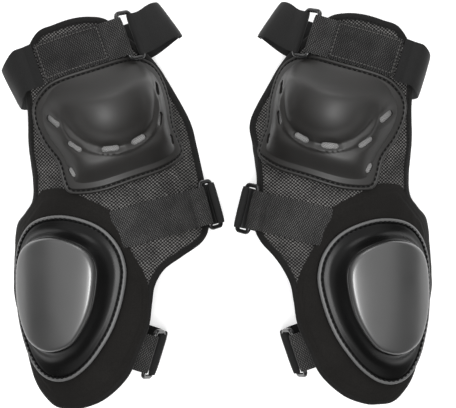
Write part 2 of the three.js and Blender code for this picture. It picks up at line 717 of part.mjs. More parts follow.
// How the guards differ: where the slider sits, how far the pad's lower inner corner and the ring
// by it are drawn in and lifted, and how tight and how askew the thigh loop lies.
const RIGHT = {
  slider: { spin: -3 * degrees, centreY: -191 },
  corner: { edgeIn: 0, ringIn: 0, ringUp: 0, webbingUp: 0 },
  reach: { inner: 0, outer: 0, outerShift: -11, outerTurn: 8 * degrees },
};
const LEFT = {
  slider: { spin: -5 * degrees, centreY: -199 },
  corner: { edgeIn: 20, ringIn: 16, ringUp: 17, webbingUp: 1.5 },
  reach: { inner: 3, outer: 5, outerShift: -6, outerTurn: 0 },
};

const rightGuard = makeGuard('right', RIGHT);
rightGuard.position.set(-121.8, 93.5, 0);

const leftGuard = makeGuard('left', LEFT);
leftGuard.scale.x = -1;
leftGuard.rotation.z = 2 * degrees;
leftGuard.position.set(104.5, 96.5, 0);

const pair = new THREE.Group();
pair.add(rightGuard, leftGuard);

// The pair's own origin lies under the middle of its bounding box, on the surface it rests on.
const bounds = new THREE.Box3().setFromObject(pair, true);
const middle = bounds.getCenter(new Vector3());
pair.position.set(-middle.x, -middle.y, -bounds.min.z);

export default pair;
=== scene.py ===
"""A pair of motorcycle knee guards lying on their backs on a pale floor.

Shapes are worked out in millimetres in each guard's own frame (origin under the middle of the
knee cap, +Y up the leg, -X on its outer side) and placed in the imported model's frame.
"""

import json
import math

import bpy
import numpy as np
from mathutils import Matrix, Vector


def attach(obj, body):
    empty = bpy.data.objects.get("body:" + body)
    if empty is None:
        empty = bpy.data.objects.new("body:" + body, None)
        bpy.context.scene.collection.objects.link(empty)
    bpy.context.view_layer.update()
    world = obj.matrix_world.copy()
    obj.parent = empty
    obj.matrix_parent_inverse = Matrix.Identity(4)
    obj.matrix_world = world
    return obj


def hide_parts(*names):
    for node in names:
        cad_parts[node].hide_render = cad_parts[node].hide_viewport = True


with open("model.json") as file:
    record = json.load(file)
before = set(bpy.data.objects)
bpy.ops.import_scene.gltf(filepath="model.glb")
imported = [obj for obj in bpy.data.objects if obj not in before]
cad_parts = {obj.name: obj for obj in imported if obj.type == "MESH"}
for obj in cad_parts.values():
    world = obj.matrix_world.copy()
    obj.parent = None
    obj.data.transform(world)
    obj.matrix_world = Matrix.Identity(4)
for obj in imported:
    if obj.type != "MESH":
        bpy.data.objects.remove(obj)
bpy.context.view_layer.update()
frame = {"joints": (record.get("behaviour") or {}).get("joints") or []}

MM = 0.001
DEG = math.pi / 180

# ---- the pad's curved form, in mm (the same form as the CAD's) ----

ARCH_TOP = 83
FLARE_LENGTH = 12
THIGH = {"lean": 19.5 * DEG, "radius": 98, "middle": -28, "flare": 60 * DEG}
SHIN = {"lean": 0.0, "radius": 136, "middle": 11.6, "flare": 58 * DEG}
FOLD_POINT = (3, -131)
FOLD_TOWARDS = (-0.67, -0.74)
FOLD_RANGE = (-31, 37)

PAD_OUTLINE = [
    (-86, 58), (-74, 81), (-57, 89), (-38, 96), (-20, 99), (-4, 97), (15, 82), (42, 59), (59, 34),
    (80, -4), (88, -33), (96, -70), (100, -94), (101, -116), (95, -132), (74, -147), (56, -160),
    (46, -177), (43, -196), (40, -219), (30, -245), (18, -271), (-4, -292), (-26, -302), (-41, -304),
    (-57, -303), (-71, -292), (-81, -278), (-88, -258), (-100, -216), (-106, -202), (-109, -181),
    (-108, -150), (-105, -118), (-93, -103), (-84, -90), (-83, -69), (-85, -47), (-86, -33),
    (-85, -3), (-87, 28),
]
PAD_CENTRE = (-7, -89)
CORNER = {"from_x": 45, "to_x": 98, "from_y": 5, "to_y": 60}
PANEL_OUTLINE = [
    (-78, -88), (-70, -79), (-52, -77), (-40, -80), (-23, -88), (1, -100), (13, -115), (22, -140),
    (35, -163), (40, -181), (38, -214), (27, -244), (14, -269), (-6, -289), (-26, -299), (-41, -301),
    (-56, -300), (-69, -289), (-78, -276), (-85, -257), (-97, -215), (-103, -201), (-106, -181),
    (-105, -150), (-101, -119), (-91, -104),
]
PANEL_CENTRE = (-35, -190)

CAP_HALF = [
    (0, 50), (43, 50), (64, 42), (75, 31), (79, 16), (78, 0), (75, -13), (69, -31), (70, -49),
    (69, -61), (60, -68), (34, -74), (0, -74.5),
]
SLIDER_HALF = [
    (0, 86), (26, 82), (45, 73), (59, 58), (66, 42), (68, 26), (65, 0), (58, -26), (48, -47),
    (37, -64), (24, -77), (12, -83.5), (0, -85.5),
]
PLATE_HALF = [
    (0, 63), (19, 60), (34, 53), (43, 42), (46, 26), (44, 0), (38, -21), (27, -41), (14, -50),
    (0, -53),
]
CAP = {
    "turn": 17 * DEG, "dome_y": 2.0, "rim": 5.0, "flange": 6.0, "shell": 2.8, "rise": 25.0,
    "body": 11.0, "dome": 18.0, "dome_radius": 39.0, "ledge_radius": 47.0,
}
VENTS = [
    {"across": 55, "along": 10, "length": 18, "width": 6.6, "turn": 55 * DEG},
    {"across": 43, "along": -22, "length": 16.5, "width": 5.4, "turn": 54 * DEG},
    {"across": 56, "along": -45, "length": 11, "width": 5.6, "turn": 80 * DEG},
    {"across": 13.3, "along": -36.3, "length": 16, "width": 6, "turn": 14 * DEG},
]
SLIDER = {"turn": -26 * DEG, "foot": 6.0}

# How each guard lies, and what differs: its slider's place, how far the pad's corner and the mid
# ring are drawn in, how far that ring is lifted, and the fit of the thigh strap's loop.
RIGHT = {
    "name": "right", "mirror": False, "turn": 0.0, "slider_spin": -3 * DEG, "slider_y": -191,
    "edge_in": 0, "ring_in": 0, "ring_up": 0,
    "loop": {"inner": 0, "outer": 0, "shift": -11, "turn": 8 * DEG},
}
LEFT = {
    "name": "left", "mirror": True, "turn": 2 * DEG, "slider_spin": -5 * DEG, "slider_y": -199,
    "edge_in": 20, "ring_in": 16, "ring_up": 17,
    "loop": {"inner": 3, "outer": 5, "shift": -6, "turn": 0.0},
}

RING_BAR = 2.3
RING_WRAP = RING_BAR + 1.3
RING_HALF = 27
RING_CORNER = 4.5
ELASTIC = 1.8
BANDS = {
    "webbing": {"width": 40, "thickness": 1.7, "slot": "webbing"},
    "patch": {"width": 38, "thickness": 1.5, "slot": "webbing"},
    "elastic": {"width": 44, "thickness": ELASTIC, "slot": "elastic"},
    "hook": {"width": 38, "thickness": 0.9, "slot": "hook_fabric"},
}


def smoothstep(x, low, high):
    t = np.clip((np.asarray(x, float) - low) / (high - low), 0, 1)
    return t * t * (3 - 2 * t)


def arch_height(offset, arch):
    distance = np.abs(offset)
    limit = arch["radius"] * math.sin(arch["flare"])
    centre = ARCH_TOP - arch["radius"]
    inside = centre + np.sqrt(np.maximum(arch["radius"] ** 2 - distance**2, 1))
    drop = FLARE_LENGTH * (1 - np.exp(np.minimum(limit - distance, 0) / FLARE_LENGTH))
    outside = centre + arch["radius"] * math.cos(arch["flare"]) - math.tan(arch["flare"]) * drop
    return np.where(distance <= limit, inside, outside)


def form_height(x, y):
    across = x * math.cos(THIGH["lean"]) + y * math.sin(THIGH["lean"])
    thigh = arch_height(across - THIGH["middle"], THIGH)
    shin = arch_height(x - SHIN["middle"], SHIN)
    past = (x - FOLD_POINT[0]) * FOLD_TOWARDS[0] + (y - FOLD_POINT[1]) * FOLD_TOWARDS[1]
    share = smoothstep(past, *FOLD_RANGE)
    return thigh * (1 - share) + shin * share


def on_pad(x, y, height):
    """Points at heights above the pad's outer face, over places in plan."""
    x, y, height = np.broadcast_arrays(*[np.asarray(v, float) for v in (x, y, height)])
    step = 0.5
    slope_x = (form_height(x + step, y) - form_height(x - step, y)) / (2 * step)
    slope_y = (form_height(x, y + step) - form_height(x, y - step)) / (2 * step)
    normal = np.stack([-slope_x, -slope_y, np.ones_like(x)], -1)
    normal /= np.linalg.norm(normal, axis=-1, keepdims=True)
    return np.stack([x, y, form_height(x, y)], -1) + normal * height[..., None]


def on_arch(arch, turn, centre_y, spin=0.0, straight_above=1e6):
    """A placing function for pieces bent round an arch: across its arc, along it, above it.

    Heights over straight_above rise in one direction, straight out from the piece's middle.
    """

    def place(across, along, height):
        across, along, height = np.broadcast_arrays(
            *[np.asarray(v, float) for v in (across, along, height)]
        )
        arc = across * math.cos(spin) - along * math.sin(spin)
        v = centre_y + across * math.sin(spin) + along * math.cos(spin)
        angle = turn + arc / arch["radius"]
        reach = arch["radius"] + np.minimum(height, straight_above)
        straight = np.maximum(0, height - straight_above)
        u = arch["middle"] + reach * np.sin(angle) + straight * math.sin(turn)
        z = ARCH_TOP - arch["radius"] + reach * np.cos(angle) + straight * math.cos(turn)
        lean = arch["lean"]
        return np.stack(
            [u * math.cos(lean) - v * math.sin(lean), u * math.sin(lean) + v * math.cos(lean), z], -1
        )

    return place


# ---- outlines and routes ----


def spline(points, closed, dense=24):
    """A smooth curve through the points (Catmull-Rom), as many short steps."""
    p = np.asarray(points, float)
    n = len(p)
    spans = n if closed else n - 1
    out = []
    for i in range(spans):
        if closed:
            a, b, c, d = p[i - 1], p[i], p[(i + 1) % n], p[(i + 2) % n]
        else:
            a, b, c, d = p[max(i - 1, 0)], p[i], p[i + 1], p[min(i + 2, n - 1)]
        t = np.linspace(0, 1, dense, endpoint=False)[:, None]
        out.append(
            0.5 * (2 * b + (c - a) * t + (2 * a - 5 * b + 4 * c - d) * t**2
                   + (3 * b - a - 3 * c + d) * t**3)
        )
    if not closed:
        out.append(p[-1:])
    return np.concatenate(out)


def lengths_along(curve):
    """The distance along an open curve to each of its points."""
    return np.concatenate([[0], np.cumsum(np.linalg.norm(np.diff(curve, axis=0), axis=1))])


def even(curve, count, closed):
    """The same curve in points an even distance apart."""
    if closed:
        curve = np.concatenate([curve, curve[:1]])
    length = lengths_along(curve)
    wanted = np.linspace(0, length[-1], count, endpoint=not closed)
    return np.stack([np.interp(wanted, length, curve[:, k]) for k in range(curve.shape[1])], -1)


def outline(points, count):
    return even(spline(points, True), count, True)


def mirrored(half):
    return list(half) + [(-x, y) for x, y in half[1:-1][::-1]]


def inward_normals(loop):
    """Unit vectors pointing into a closed plan outline."""
    along = np.roll(loop, -1, 0) - np.roll(loop, 1, 0)
    along /= np.linalg.norm(along, axis=1, keepdims=True)
    normal = np.stack([-along[:, 1], along[:, 0]], -1)
    area = np.sum(loop[:, 0] * np.roll(loop[:, 1], -1) - np.roll(loop[:, 0], -1) * loop[:, 1])
    return normal if area > 0 else -normal


# ---- guards ----


class Guard:
    """One guard's name, its options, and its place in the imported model's frame."""

    def __init__(self, options):
        self.name = options["name"]
        self.mirror = options["mirror"]
        self.turn = options["turn"]
        self.options = options
        self.body = f"{self.name}_guard"
        hinge = next(j for j in frame["joints"] if j["name"] == f"{self.name}_thigh_ring_swing")
        bar = THIGH_STRAP["origin"] + THIGH_STRAP["across"] * THIGH_RING[0][0]
        self.origin = np.zeros(2)  # moved next, to put the thigh ring's bar on its hinge
        placed = self.to_frame(np.array([[bar[0], bar[1], 0.0]]))[0]
        self.origin = np.array(hinge["pos_m"][:2]) - placed[:2]

    def to_frame(self, points):
        """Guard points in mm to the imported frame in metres."""
        x = points[..., 0] * (-1 if self.mirror else 1) * MM
        y = points[..., 1] * MM
        c, s = math.cos(self.turn), math.sin(self.turn)
        return np.stack(
            [self.origin[0] + c * x - s * y, self.origin[1] + s * x + c * y, points[..., 2] * MM], -1
        )


def pad_outline(guard, count):
    """The pad's outline, its lower inner corner drawn in as this guard's is."""
    points = np.array(PAD_OUTLINE, float)
    share = smoothstep(points[:, 0], CORNER["from_x"], CORNER["to_x"])
    share = share * smoothstep(-points[:, 1], CORNER["from_y"], CORNER["to_y"])
    points[:, 0] -= guard.options["edge_in"] * share
    return outline(points, count)


def strap_frame(name, lean, origin):
    """A strap's name, its origin in plan, and the ways across and up the leg as it lies."""
    return {
        "name": name,
        "origin": np.array(origin, float),
        "across": np.array([math.cos(lean), math.sin(lean)]),
        "up": np.array([-math.sin(lean), math.cos(lean)]),
    }


THIGH_UP = 71
THIGH_STRAP = strap_frame(
    "thigh", THIGH["lean"], (-THIGH_UP * math.sin(THIGH["lean"]), THIGH_UP * math.cos(THIGH["lean"]))
)
MID_STRAP = strap_frame("mid", 15.5 * DEG, (0, -122.4))
LOWER_STRAP = strap_frame("lower", -17 * DEG, (31.5, -246.8))

# The (across, height) places of each ring's inner and outer bar.
THIGH_RING = ((39, 67), (52.6, 53.4))
MID_RING = ((101, 46), (112.6, 30.7))
LOWER_RING = ((9, 64), (16.5, 46.3))


# ---- meshes ----


def add_object(name, data):
    obj = bpy.data.objects.new(name, data)
    bpy.context.collection.objects.link(obj)
    return obj


def make_object(guard, name, points, faces, material, uv=None, body=None, smooth_angle=40):
    """A mesh piece of a guard, with optional texture coordinates in mm at each point."""
    points = guard.to_frame(np.asarray(points, float).reshape(-1, 3))
    if guard.mirror:
        faces = [tuple(reversed(f)) for f in faces]
    mesh = bpy.data.meshes.new(f"{guard.name}_{name}")
    mesh.from_pydata(points.tolist(), [], faces)
    mesh.validate()
    mesh.update()
    if uv is not None:
        layer = mesh.uv_layers.new(name="UVMap")
        corner = np.zeros(len(mesh.loops), int)
        mesh.loops.foreach_get("vertex_index", corner)
        layer.data.foreach_set("uv", np.asarray(uv, float).reshape(-1, 2)[corner].ravel())
    obj = add_object(f"{guard.name}_{name}", mesh)
    mesh.polygons.foreach_set("use_smooth", [True] * len(mesh.polygons))
    mesh.set_sharp_from_angle(angle=smooth_angle * DEG)
    mesh.materials.append(material)
    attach(obj, body or guard.body)
    return obj


def grid_faces(rows, columns, wrap_rows=False, wrap_columns=False, start=0):
    faces = []
    for i in range(rows if wrap_rows else rows - 1):
        for k in range(columns if wrap_columns else columns - 1):
            a = start + i * columns + k
            b = start + i * columns + (k + 1) % columns
            c = start + ((i + 1) % rows) * columns + (k + 1) % columns
            d = start + ((i + 1) % rows) * columns + k
            faces.append((a, b, c, d))
    return faces


def outward(points, faces):
    """The faces turned so that the closed mesh's volume is positive."""
    volume = 0.0
    for f in faces:
        a = points[f[0]]
        for k in range(1, len(f) - 1):
            volume += np.dot(a, np.cross(points[f[k]], points[f[k + 1]]))
    return faces if volume > 0 else [tuple(reversed(f)) for f in faces]


def spokes_mesh(spokes):
    """A closed solid from spokes (n, m, 3) whose first and last points are shared by all."""
    n, m, _ = spokes.shape
    width = m - 2
    faces = grid_faces(n, width, wrap_rows=True, start=2)
    for i in range(n):
        j = (i + 1) % n
        faces.append((0, 2 + i * width, 2 + j * width))
        faces.append((1, 2 + j * width + width - 1, 2 + i * width + width - 1))
    points = spokes_values(spokes)
    return points, outward(points, faces)


def spokes_values(values):
    """Values on spokes (n, m, k) in the same order as spokes_mesh's points."""
    inner = values[:, 1:-1].reshape(-1, values.shape[-1])
    return np.concatenate([values[:1, 0], values[:1, -1], inner])


def there_and_back(out, back):
    """Rows that run along one grid's columns and return along the other's."""
    return np.concatenate([out, back[:, ::-1]], axis=1)


def skin_mesh(place, plan, top, bottom):
    """A closed solid between two heights over spokes in plan, and its texture coordinates."""
    x, y = plan[..., 0], plan[..., 1]
    points, faces = spokes_mesh(there_and_back(place(x, y, top), place(x, y, bottom)))
    return points, faces, spokes_values(there_and_back(plan, plan))


def slab_mesh(top, bottom):
    """A closed solid between two grids of points (rows along the band, columns across it)."""
    n, m, _ = top.shape
    points = there_and_back(top, bottom).reshape(-1, 3)
    faces = grid_faces(n, 2 * m, wrap_columns=True)
    ring = 2 * m
    for row in (0, n - 1):
        for k in range(m - 1):
            a, b = row * ring + k, row * ring + k + 1
            c, d = row * ring + ring - 2 - k, row * ring + ring - 1 - k
            faces.append((a, d, c, b) if row == 0 else (a, b, c, d))
    return points, outward(points, faces)


def loop_mesh(sections):
    """A closed ring from sections (n, k, 3) round a closed path."""
    n, k, _ = sections.shape
    points = sections.reshape(-1, 3)
    faces = grid_faces(n, k, wrap_rows=True, wrap_columns=True)
    return points, outward(points, faces)


def ripple(x, y, seed, scale):
    """A smooth seeded unevenness between about -1 and 1."""
    rng = np.random.default_rng(seed)
    total = np.zeros_like(np.asarray(x, float))
    for _ in range(7):
        angle = rng.uniform(0, 2 * math.pi)
        pitch = scale * rng.uniform(0.6, 1.6)
        phase = rng.uniform(0, 2 * math.pi)
        total += np.sin(
            2 * math.pi * (x * math.cos(angle) + y * math.sin(angle)) / pitch + phase
        )
    return total / 4


# ---- materials ----


class Graph:
    """Short calls for building the nodes of a material or a world."""

    def __init__(self, owner):
        owner.use_nodes = True
        self.owner = owner
        self.nodes = owner.node_tree.nodes
        self.links = owner.node_tree.links

    def feed(self, socket, value):
        """Links another node's output to a socket, or sets its number or colour."""
        if isinstance(value, bpy.types.NodeSocket):
            self.links.new(value, socket)
        else:
            socket.default_value = (*value, 1) if isinstance(value, tuple) else value

    def node(self, kind, inputs=(), **settings):
        """A node with its settings, and its inputs by name or number."""
        node = self.nodes.new(kind)
        for key, value in settings.items():
            setattr(node, key, value)
        for key, value in dict(inputs).items():
            self.feed(node.inputs[key], value)
        return node

    def math(self, operation, *values, clamp=False):
        settings = {"operation": operation, "use_clamp": clamp}
        return self.node("ShaderNodeMath", enumerate(values), **settings).outputs[0]

    def split(self, vector):
        return self.node("ShaderNodeSeparateXYZ", {0: vector}).outputs

    def uv(self):
        """Separate texture coordinates, in mm."""
        return self.split(self.node("ShaderNodeUVMap", uv_map="UVMap").outputs[0])[:2]

    def object_place(self):
        return self.node("ShaderNodeTexCoord").outputs["Object"]

    def noise(self, vector, scale, detail=3.0, roughness=0.55):
        inputs = {"Vector": vector, "Scale": scale, "Detail": detail, "Roughness": roughness}
        return self.node("ShaderNodeTexNoise", inputs).outputs[0]

    def span(self, value, low, high, to_low, to_high):
        """A value carried from one range to another, and held at its ends."""
        inputs = enumerate((value, low, high, to_low, to_high))
        return self.node("ShaderNodeMapRange", inputs).outputs[0]

    def mix(self, share, a, b):
        """Colour a where share is 0 and b where it is 1."""
        return self.node("ShaderNodeMix", {0: share, 6: a, 7: b}, data_type="RGBA").outputs[2]

    def bump(self, height, distance, strength=1.0, under=None):
        inputs = {"Strength": strength, "Distance": distance, "Height": height}
        if under is not None:
            inputs["Normal"] = under
        return self.node("ShaderNodeBump", inputs).outputs[0]

    def finish(self, colour, roughness, normal=None, shine=0.5, **constants):
        """Sets the material's shader and returns the material."""
        inputs = {"Base Color": colour, "Roughness": roughness, "Specular IOR Level": shine}
        if normal is not None:
            inputs["Normal"] = normal
        for key, value in constants.items():
            inputs[key.replace("_", " ")] = value
        for key, value in inputs.items():
            self.feed(self.nodes["Principled BSDF"].inputs[key], value)
        return self.owner


STRAY = 1.2  # how far in mm a woven thread wanders to either side


def wave(g, value, pitch):
    """sin of a coordinate, one turn in each pitch."""
    return g.math("SINE", g.math("MULTIPLY_ADD", value, 2 * math.pi / pitch, 0.0))


def woven(name, dark, light, pitch_u, pitch_v, depth, roughness, patchy=0.25, shine=0.12):
    """Cloth of threads that pass over and under each other, the raised ones painted paler as lit and
    the sunken gaps between them painted darker as shade.

    The pitches are the distances between neighbouring raised threads, in mm.
    """
    g = Graph(bpy.data.materials.new(name))
    u, v = g.uv()
    place = g.object_place()
    stray = g.math("MULTIPLY_ADD", g.noise(place, 160.0, 2.0), 2 * STRAY, -STRAY)
    threads_u = wave(g, g.math("ADD", u, stray), 2 * pitch_u)
    threads_v = wave(g, g.math("ADD", v, stray), 2 * pitch_v)
    raised = g.span(g.math("MULTIPLY", threads_u, threads_v), -0.3, 0.8, 0.0, 1.0)
    uneven = g.noise(place, 45.0, 4.0)
    grain = g.noise(place, 1500.0, 2.0)
    # Painted light: the raised threads get a painted highlight and the sunken ones painted shade, on
    # top of the random grain.
    lit = g.math("MULTIPLY", raised, g.span(grain, 0.3, 0.7, 0.35, 1.0))
    patch = g.span(uneven, 0.35, 0.65, 1.0 - patchy, 1.0)
    colour = g.mix(g.math("MULTIPLY", lit, patch, clamp=True), dark, light)
    normal = g.bump(raised, depth * MM)
    return g.finish(colour, roughness, normal, shine)


def knitted(name, dark, light, pitch, roughness, sheen, shine=0.1):
    """Smooth knitted cloth: fine ribs along it with painted shade in their hollows, soft nap and slight
    unevenness.
    """
    g = Graph(bpy.data.materials.new(name))
    u, v = g.uv()
    rib = wave(g, v, pitch)
    dash = wave(g, u, pitch * 1.6)
    raised = g.span(g.math("MULTIPLY_ADD", dash, 0.35, rib), -1.2, 1.2, 0.0, 1.0)
    place = g.object_place()
    nap = g.noise(place, 900.0, 3.0)
    cloud = g.noise(place, 28.0, 4.0)
    share = g.math("MULTIPLY", g.span(nap, 0.3, 0.75, 0.2, 1.0), g.span(cloud, 0.3, 0.7, 0.55, 1.0))
    # Painted shade: the hollows between the ribs are painted darker than the raised ribs.
    ribbed = g.math("MULTIPLY", share, g.span(raised, 0.0, 1.0, 0.6, 1.0), clamp=True)
    normal = g.bump(raised, 0.12 * MM, 0.7, g.bump(nap, 0.25 * MM, 0.5))
    return g.finish(
        g.mix(ribbed, dark, light), roughness, normal, shine, Sheen_Weight=sheen, Sheen_Roughness=0.5
    )


def moulded(name, dark, light, roughness, grain, grain_depth, scuffs, shine, coat=0.0):
    """Moulded plastic: fine grain, slow colour drift, rubbed places and faint scratches."""
    g = Graph(bpy.data.materials.new(name))
    place = g.object_place()
    drift = g.noise(place, 14.0, 4.0)
    fine = g.noise(place, grain, 2.0)
    stretched = g.node("ShaderNodeMapping", {"Vector": place})
    stretched.inputs["Rotation"].default_value = (0.3, 0.2, 0.9)
    stretched.inputs["Scale"].default_value = (1.0, 0.06, 1.0)
    scratch = g.noise(stretched.outputs[0], 900.0, 2.0)
    scratched = g.span(scratch, 0.64, 0.76, 0.0, scuffs)
    share = g.math("ADD", g.span(drift, 0.3, 0.7, 0.0, 0.8), scratched, clamp=True)
    rubbed = g.math("MULTIPLY", scratched, 0.35)
    smooth = g.span(drift, 0.3, 0.7, roughness - 0.03, roughness + 0.05)
    normal = g.bump(fine, grain_depth * MM, 0.6)
    return g.finish(
        g.mix(share, dark, light), g.math("ADD", smooth, rubbed, clamp=True), normal, shine,
        Coat_Weight=coat, Coat_Roughness=0.2,
    )


def grey(value, warmth=0.0):
    """A neutral colour, a little warmer where warmth is over 0."""
    return (value * (1 + warmth), value, value * (1 - warmth))


def build_materials():
    """Every look, by a short name; each row's numbers are in its function's own order."""
    return {
        "mesh": woven("air_mesh", grey(0.005), grey(0.25, 0.03), 1.9, 1.7, 0.5, 0.8, 0.5),
        "pale": woven("pale_mesh", grey(0.20), grey(0.52, 0.02), 1.1, 1.0, 0.25, 0.75),
        "webbing": woven("webbing", grey(0.006), grey(0.125, 0.02), 1.25, 1.7, 0.3, 0.6, 0.5),
        "patch": woven("patch_webbing", grey(0.005), grey(0.085, 0.02), 1.2, 1.9, 0.3, 0.6, 0.6),
        "elastic": knitted("elastic", grey(0.010), grey(0.021), 1.4, 0.75, 0.06),
        "loop": knitted("loop_fabric", grey(0.007, 0.06), grey(0.017, 0.06), 1.1, 0.85, 0.02, 0.06),
        "binding": knitted("binding", grey(0.005, 0.03), grey(0.016, 0.03), 1.2, 0.75, 0.04),
        "lining": knitted("lining", grey(0.010), grey(0.032), 1.8, 0.9, 0.1),
        "cap": moulded("cap_shell", grey(0.009, 0.08), grey(0.014, 0.08), 0.49, 1700.0, 0.05, 0.2, 0.5),
        "rubber": moulded("slider_rubber", grey(0.0022), grey(0.0045), 0.28, 900.0, 0.03, 0.2, 0.17),
        "rim": moulded("slider_rim", grey(0.08), grey(0.13), 0.4, 900.0, 0.03, 0.25, 0.4),
        "plate": moulded("slider_plate", grey(0.026), grey(0.038), 0.33, 500.0, 0.006, 0.1, 0.9, 0.35),
        "ring": moulded("ring_plastic", grey(0.008), grey(0.016), 0.22, 700.0, 0.02, 0.3, 0.5, 0.2),
        "thread": knitted("thread", grey(0.002), grey(0.006), 0.5, 0.7, 0.05),
        "seam": knitted("seam_thread", grey(0.05, 0.04), grey(0.14, 0.04), 0.5, 0.7, 0.05),
        "hook": woven("hook_fabric", grey(0.003), grey(0.02), 0.8, 0.8, 0.5, 0.5),
    }


# ---- pad ----


def spoke_places(loop, centre, shares):
    """Plan places (n, m) along the spokes from a centre to a closed outline."""
    centre = np.asarray(centre, float)
    return centre + (loop[:, None, :] - centre) * np.asarray(shares, float)[None, :, None]


def level(height):
    """A layer's face at one height everywhere."""
    return lambda x, y, shares: np.full_like(x, height)


def padded_skin(guard, name, loop, centre, shares, heights, look, nodes):
    """A padded layer between top and bottom heights, standing for some CAD nodes."""
    plan = spoke_places(loop, centre, shares)
    top, bottom = [height(plan[..., 0], plan[..., 1], shares) for height in heights]
    points, faces, uv = skin_mesh(on_pad, plan, top, bottom)
    piece = make_object(guard, name, points, faces, look, uv)
    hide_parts(*[f"{guard.name}_{node}" for node in nodes])


def pad_layers(guard, looks):
    """The mesh-covered foam, and the lining under it, both wavy and thinner near the edge."""
    loop = pad_outline(guard, 260)
    shares = np.concatenate([np.linspace(0, 0.9, 40), np.linspace(0.92, 1, 7)])

    def face_top(x, y, shares):
        edge = smoothstep(shares, 0.9, 1.0)
        return 0.5 + 0.7 * ripple(x, y, 3, 34) * (1 - edge) - 1.2 * edge

    def lining_bottom(x, y, shares):
        edge = smoothstep(shares, 0.88, 1.0)
        return -9.6 - 0.8 * ripple(x, y, 8, 42) * (1 - edge) + 1.2 * edge

    padded_skin(
        guard, "pad_face_mesh", loop, PAD_CENTRE, shares, (face_top, level(-4.0)),
        looks["mesh"], ["pad_mesh", "pad_foam"],
    )
    padded_skin(
        guard, "pad_lining_skin", loop, PAD_CENTRE, shares, (level(-4.2), lining_bottom),
        looks["lining"], ["pad_lining"],
    )


# The tape's section round the pad's edge: (inset from the edge, height over the pad's face).
BINDING_SECTION = [
    (6.0, 0.3), (5.9, 1.0), (5.2, 1.3), (2.4, 1.3), (0.6, 1.0), (-0.6, 0.2), (-1.2, -1.4),
    (-1.4, -4.8), (-1.2, -8.4), (-0.6, -10.2), (0.6, -11.0), (2.4, -11.3), (5.2, -11.2),
    (5.9, -10.9), (6.0, -9.8),
]


def pad_binding(guard, looks):
    """The tape folded over the pad's edge, and its row of stitches."""
    loop = pad_outline(guard, 420)
    inward = inward_normals(loop)
    swell = 0.25 * ripple(*loop.T, 5, 26)
    rows = [
        on_pad(*(loop + inward * inset).T, height + swell * (height > 0))
        for inset, height in BINDING_SECTION
    ]
    points, faces = loop_mesh(np.stack(rows, 1))
    around = np.array([inset for inset, _ in BINDING_SECTION])
    uv = np.stack(np.broadcast_arrays(lengths_along(loop)[:, None], around[None, :]), -1)
    tape = make_object(guard, "pad_edge_tape", points, faces, looks["binding"], uv)
    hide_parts(f"{guard.name}_pad_binding")
    plan = loop + inward * 4.4
    path = on_pad(*plan.T, 1.3)
    stitches(guard, "edge_stitching", path, straight_out(on_pad, plan), looks)


def straight_out(place, plan, height=0.0):
    """The ways out of a surface at places in plan, 1 mm long."""
    return place(*plan.T, height + 1.0) - place(*plan.T, height)


def stitches(guard, name, path, normals, looks, pitch=4.2, length=2.9, radius=0.42, body=None):
    """A row of short stitches, each a small pointed capsule lying along the path."""
    closed = np.vstack([path, path[:1]])
    at = lengths_along(closed)
    count = int(at[-1] / pitch)
    middles = (np.arange(count) + 0.5) * at[-1] / count
    closed_normals = np.vstack([normals, normals[:1]])

    def sample(distance, values):
        return np.stack([np.interp(distance, at, values[:, k]) for k in range(3)], -1)

    points, faces = [], []
    rings = [(-0.5, 0.25), (-0.3, 0.9), (0.0, 1.0), (0.3, 0.9), (0.5, 0.25)]
    sides = 6
    for middle in middles:
        normal = sample(np.array([middle]), closed_normals)[0]
        normal /= np.linalg.norm(normal)
        ends = sample(np.array([middle - 0.5, middle + 0.5]), closed)
        along = ends[1] - ends[0]
        along /= max(np.linalg.norm(along), 1e-9)
        side = np.cross(normal, along)
        start = len(points)
        for share, size in rings:
            centre = sample(np.array([middle + share * length]), closed)[0]
            for k in range(sides):
                angle = 2 * math.pi * k / sides
                points.append(
                    centre + radius * size * (side * math.cos(angle) + normal * math.sin(angle))
                )
        faces += grid_faces(len(rings), sides, wrap_columns=True, start=start)
        faces.append(tuple(start + k for k in range(sides))[::-1])
        last = start + sides * (len(rings) - 1)
        faces.append(tuple(last + k for k in range(sides)))
    points = np.array(points)
    uv = np.stack([points[:, 0], points[:, 1]], -1)
    return make_object(guard, name, points, outward(points, faces), looks["thread"], uv, body)


# ---- knee cap ----

on_cap = on_arch(THIGH, CAP["turn"], 0)
SOFTNESS = 3.6  # how gently the cap's climb from its rim turns into its top, in mm
GROOVE_INSET = 4.2
EASING = 4.5  # how far the creases of the distance to the rim are smoothed, in mm
VENT_DIP = 1.8
CUTTER_HEIGHTS = (1.7, 45.0)


def vent_recess(across, along):
    """How far the cap's face dips round its vents, in mm."""
    dip = np.zeros_like(across)
    for vent in VENTS:
        turn = vent["turn"]
        for side in (1, -1):
            dx, dy = (across - side * vent["across"]) * side, along - vent["along"]
            long = dx * math.cos(turn) + dy * math.sin(turn)
            short = -dx * math.sin(turn) + dy * math.cos(turn)
            reach = (long / (0.66 * vent["length"])) ** 2 + (short / (0.86 * vent["width"])) ** 2
            dip = np.maximum(dip, np.exp(-(reach**2)))
    return VENT_DIP * dip


